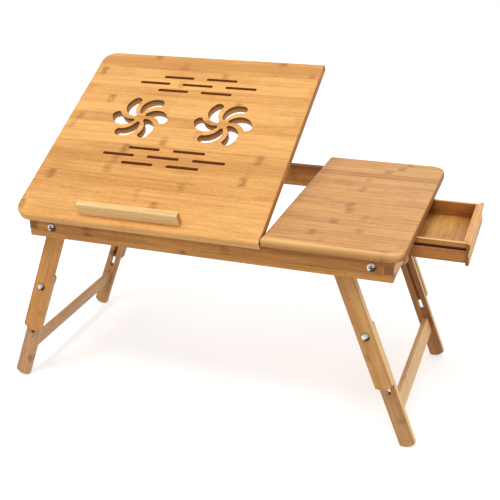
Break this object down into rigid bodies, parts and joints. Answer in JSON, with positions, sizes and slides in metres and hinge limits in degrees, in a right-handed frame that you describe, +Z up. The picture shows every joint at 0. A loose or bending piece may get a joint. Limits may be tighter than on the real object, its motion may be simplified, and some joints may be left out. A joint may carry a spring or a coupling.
{
  "type": "laptop stand with drawer",
  "caption": "Folding bamboo bed table for a laptop: tilting vented board with ledge, side shelf over a pull-out drawer, and folding legs that extend.",
  "frame": {"origin": "bottom centre of the box around the stand in the rest pose, on the floor", "axes": "+X along the front towards the drawer, +Y towards the back, +Z up"},
  "size_m": [0.682, 0.3529, 0.4621],
  "materials": {
    "board_bamboo": "satin lacquered bamboo, strips along X",
    "frame_bamboo": "satin lacquered bamboo",
    "leg_bamboo": "satin lacquered bamboo",
    "drawer_bamboo": "satin lacquered bamboo",
    "ledge_wood": "satin pale bamboo",
    "knob_wood": "satin turned wood",
    "dowel_wood": "plain wood",
    "steel": "zinc plated",
    "brass": "plain"
  },
  "bodies": {
    "frame": {"back_corner_block": "frame_bamboo", "back_drawer_guide": "frame_bamboo", "back_rail": "frame_bamboo", "corner_bolts": "steel", "front_corner_block": "frame_bamboo", "front_drawer_guide": "frame_bamboo", "front_rail": "frame_bamboo", "hinge_frame_leaves": "brass", "hinge_frame_screws": "steel", "hinge_pins": "steel", "left_cross_rail": "frame_bamboo", "left_end_rail": "frame_bamboo", "left_notch_rack": "frame_bamboo", "left_pivot_bolts": "steel", "left_pivot_nuts": "steel", "leg_stops": "dowel_wood", "middle_divider": "frame_bamboo", "pivot_washers": "steel", "right_cross_rail": "frame_bamboo", "right_end_rail": "frame_bamboo", "right_notch_rack": "frame_bamboo", "right_pivot_bolts": "steel", "side_top": "board_bamboo"},
    "drawer": {"drawer_back": "drawer_bamboo", "drawer_back_side": "drawer_bamboo", "drawer_bottom": "drawer_bamboo", "drawer_front": "drawer_bamboo", "drawer_front_side": "drawer_bamboo"},
    "left_back_knob": {"left_back_insert": "brass", "left_back_knob": "knob_wood"},
    "left_front_knob": {"left_front_insert": "brass", "left_front_knob": "knob_wood"},
    "left_legs": {"left_back_upper_leg": "leg_bamboo", "left_clamp_bolts": "steel", "left_front_upper_leg": "leg_bamboo"},
    "left_lower_legs": {"left_back_lower_leg": "leg_bamboo", "left_front_lower_leg": "leg_bamboo", "left_stretcher": "leg_bamboo"},
    "prop": {"left_prop_arm": "frame_bamboo", "prop_foot_bar": "frame_bamboo", "prop_spreader": "frame_bamboo", "right_prop_arm": "frame_bamboo"},
    "right_back_knob": {"right_back_insert": "brass", "right_back_knob": "knob_wood"},
    "right_front_knob": {"right_front_insert": "brass", "right_front_knob": "knob_wood"},
    "right_legs": {"right_back_upper_leg": "leg_bamboo", "right_clamp_bolts": "steel", "right_front_upper_leg": "leg_bamboo"},
    "right_lower_legs": {"right_back_lower_leg": "leg_bamboo", "right_front_lower_leg": "leg_bamboo", "right_stretcher": "leg_bamboo"},
    "tilting_top": {"hinge_top_leaves": "brass", "hinge_top_screws": "steel", "laptop_ledge": "ledge_wood", "ledge_dowels": "dowel_wood", "prop_batten": "frame_bamboo", "prop_pins": "steel", "tilt_top": "board_bamboo"}
  },
  "joints": [
    {"name": "top_tilt", "type": "hinge", "parent": "frame", "child": "tilting_top", "pos_m": [-0.00333, -0.16205, 0.2942], "axis": [1, 0, 0], "range_deg": [-28, 0]},
    {"name": "prop_swing", "type": "hinge", "parent": "tilting_top", "child": "prop", "pos_m": [-0.00333, -0.03067, 0.35703], "axis": [1, 0, 0], "range_deg": [0, 70.03]},
    {"name": "drawer_slide", "type": "slide", "parent": "frame", "child": "drawer", "axis": [1, 0, 0], "range_m": [-0.078, 0.041]},
    {"name": "left_leg_fold", "type": "hinge", "parent": "frame", "child": "left_legs", "pos_m": [-0.22773, 0.00145, 0.2755], "axis": [0, -1, 0], "range_deg": [0, 110]},
    {"name": "left_leg_extend", "type": "slide", "parent": "left_legs", "child": "left_lower_legs", "axis": [0.3551, 0, 0.9348], "range_m": [0, 0.09]},
    {"name": "right_leg_fold", "type": "hinge", "parent": "frame", "child": "right_legs", "pos_m": [0.18207, 0.00145, 0.2755], "axis": [0, 1, 0], "range_deg": [0, 110]},
    {"name": "right_leg_extend", "type": "slide", "parent": "right_legs", "child": "right_lower_legs", "axis": [-0.3551, 0, 0.9348], "range_m": [0, 0.09]},
    {"name": "left_front_knob_turn", "type": "hinge", "parent": "left_legs", "child": "left_front_knob", "pos_m": [-0.26821, -0.11355, 0.16893], "axis": [0, 1, 0], "continuous": true},
    {"name": "left_back_knob_turn", "type": "hinge", "parent": "left_legs", "child": "left_back_knob", "pos_m": [-0.26821, 0.11645, 0.16893], "axis": [0, 1, 0], "continuous": true},
    {"name": "right_front_knob_turn", "type": "hinge", "parent": "right_legs", "child": "right_front_knob", "pos_m": [0.22255, -0.11355, 0.16893], "axis": [0, 1, 0], "continuous": true},
    {"name": "right_back_knob_turn", "type": "hinge", "parent": "right_legs", "child": "right_back_knob", "pos_m": [0.22255, 0.11645, 0.16893], "axis": [0, 1, 0], "continuous": true}
  ],
  "couplings": [
    {"joint": "prop_swing", "follows": "top_tilt", "ratio": -2.5007}
  ]
}
